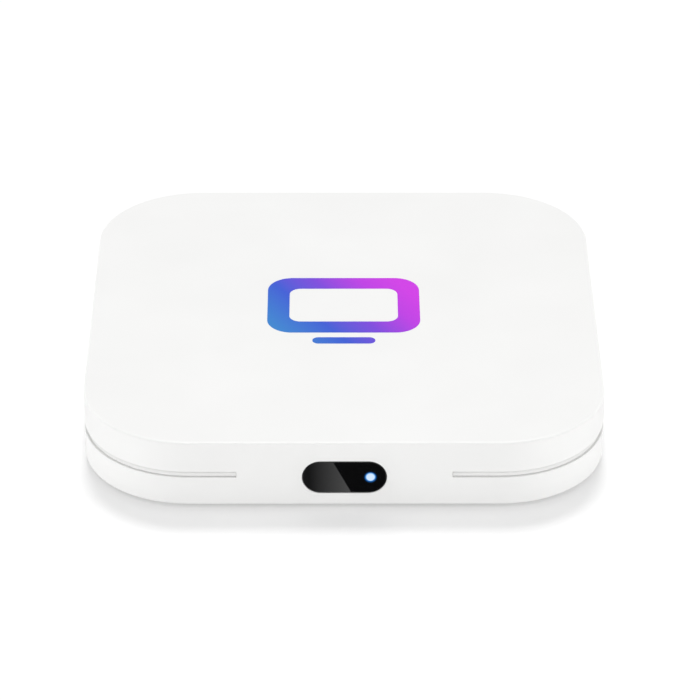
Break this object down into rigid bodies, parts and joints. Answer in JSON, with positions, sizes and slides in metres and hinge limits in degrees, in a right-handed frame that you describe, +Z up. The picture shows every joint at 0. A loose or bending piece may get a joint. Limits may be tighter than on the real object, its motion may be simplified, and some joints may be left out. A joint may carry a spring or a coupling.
{
  "type": "streaming media player",
  "caption": "Flat white set-top box with rounded corners, recessed corner slots, an infrared window with a status light, and rear and side sockets.",
  "frame": {"origin": "middle of the footprint, on the surface that the feet stand on", "axes": "+Z up, -Y out of the front with the infrared window, +Y out of the rear sockets, +X out of the side sockets"},
  "size_m": [0.105, 0.105, 0.0157],
  "materials": {
    "white_plastic": "fine satin moulding",
    "base_plastic": "fine matte moulding",
    "trim_plastic": "satin",
    "window_plastic": "polished, infrared-clear black",
    "light_guide_plastic": "clear, lit from behind",
    "label_film": "matte printed film, left blank",
    "screw_steel": "zinc plated",
    "foot_rubber": "matte",
    "board_laminate": "green solder mask",
    "module_laminate": "blue solder mask",
    "package_epoxy": "matte black epoxy",
    "silicone_pad": "soft matte",
    "heatsink_aluminium": "extruded",
    "shield_metal": "tinned",
    "receiver_epoxy": "dark lens epoxy",
    "led_plastic": "diffusing",
    "inductor_ferrite": "sintered",
    "chip_ceramic": "fired ceramic",
    "capacitor_aluminium": "drawn can",
    "socket_plastic": "glass-filled black",
    "tongue_plastic": "glass-filled black",
    "button_plastic": "moulded",
    "socket_metal": "nickel plated",
    "contact_gold": "gold plated"
  },
  "bodies": {
    "player": {"audio_jack": "socket_plastic", "audio_jack_tabs": "socket_metal", "base_cover": "base_plastic", "capacitor_1": "capacitor_aluminium", "capacitor_2": "capacitor_aluminium", "capacitor_3": "capacitor_aluminium", "card_contacts": "contact_gold", "card_insert": "socket_plastic", "card_shell": "socket_metal", "case_screws": "screw_steel", "chip_passives": "chip_ceramic", "crystal": "shield_metal", "ethernet_contacts": "contact_gold", "ethernet_jack": "socket_plastic", "ethernet_transformer": "package_epoxy", "foot_front_left": "foot_rubber", "foot_front_right": "foot_rubber", "foot_rear_left": "foot_rubber", "foot_rear_right": "foot_rubber", "hdmi_contacts": "contact_gold", "hdmi_insert": "socket_plastic", "hdmi_shell": "socket_metal", "heatsink": "heatsink_aluminium", "inductor_1": "inductor_ferrite", "inductor_2": "inductor_ferrite", "ir_receiver": "receiver_epoxy", "ir_receiver_cage": "shield_metal", "ir_window": "window_plastic", "main_board": "board_laminate", "memory_chip_1": "package_epoxy", "memory_chip_2": "package_epoxy", "power_chip": "package_epoxy", "power_jack": "socket_plastic", "power_jack_pin": "socket_metal", "power_jack_spring": "socket_metal", "processor": "package_epoxy", "rating_label": "label_film", "recovery_switch": "socket_plastic", "side_trim_left": "trim_plastic", "side_trim_right": "trim_plastic", "status_led": "led_plastic", "status_light_guide": "light_guide_plastic", "storage_chip": "package_epoxy", "thermal_pad": "silicone_pad", "top_housing": "white_plastic", "usb_front_contacts": "contact_gold", "usb_front_insert": "tongue_plastic", "usb_front_shell": "socket_metal", "usb_rear_contacts": "contact_gold", "usb_rear_insert": "tongue_plastic", "usb_rear_shell": "socket_metal", "wifi_antenna": "shield_metal", "wifi_module": "module_laminate", "wifi_shield": "shield_metal"},
    "recovery_button": {"recovery_button": "button_plastic"}
  },
  "joints": [
    {"name": "recovery_button_press", "type": "slide", "parent": "player", "child": "recovery_button", "axis": [0, 0, 1], "range_m": [0, 0.00025], "stiffness_N_per_m": 400}
  ]
}
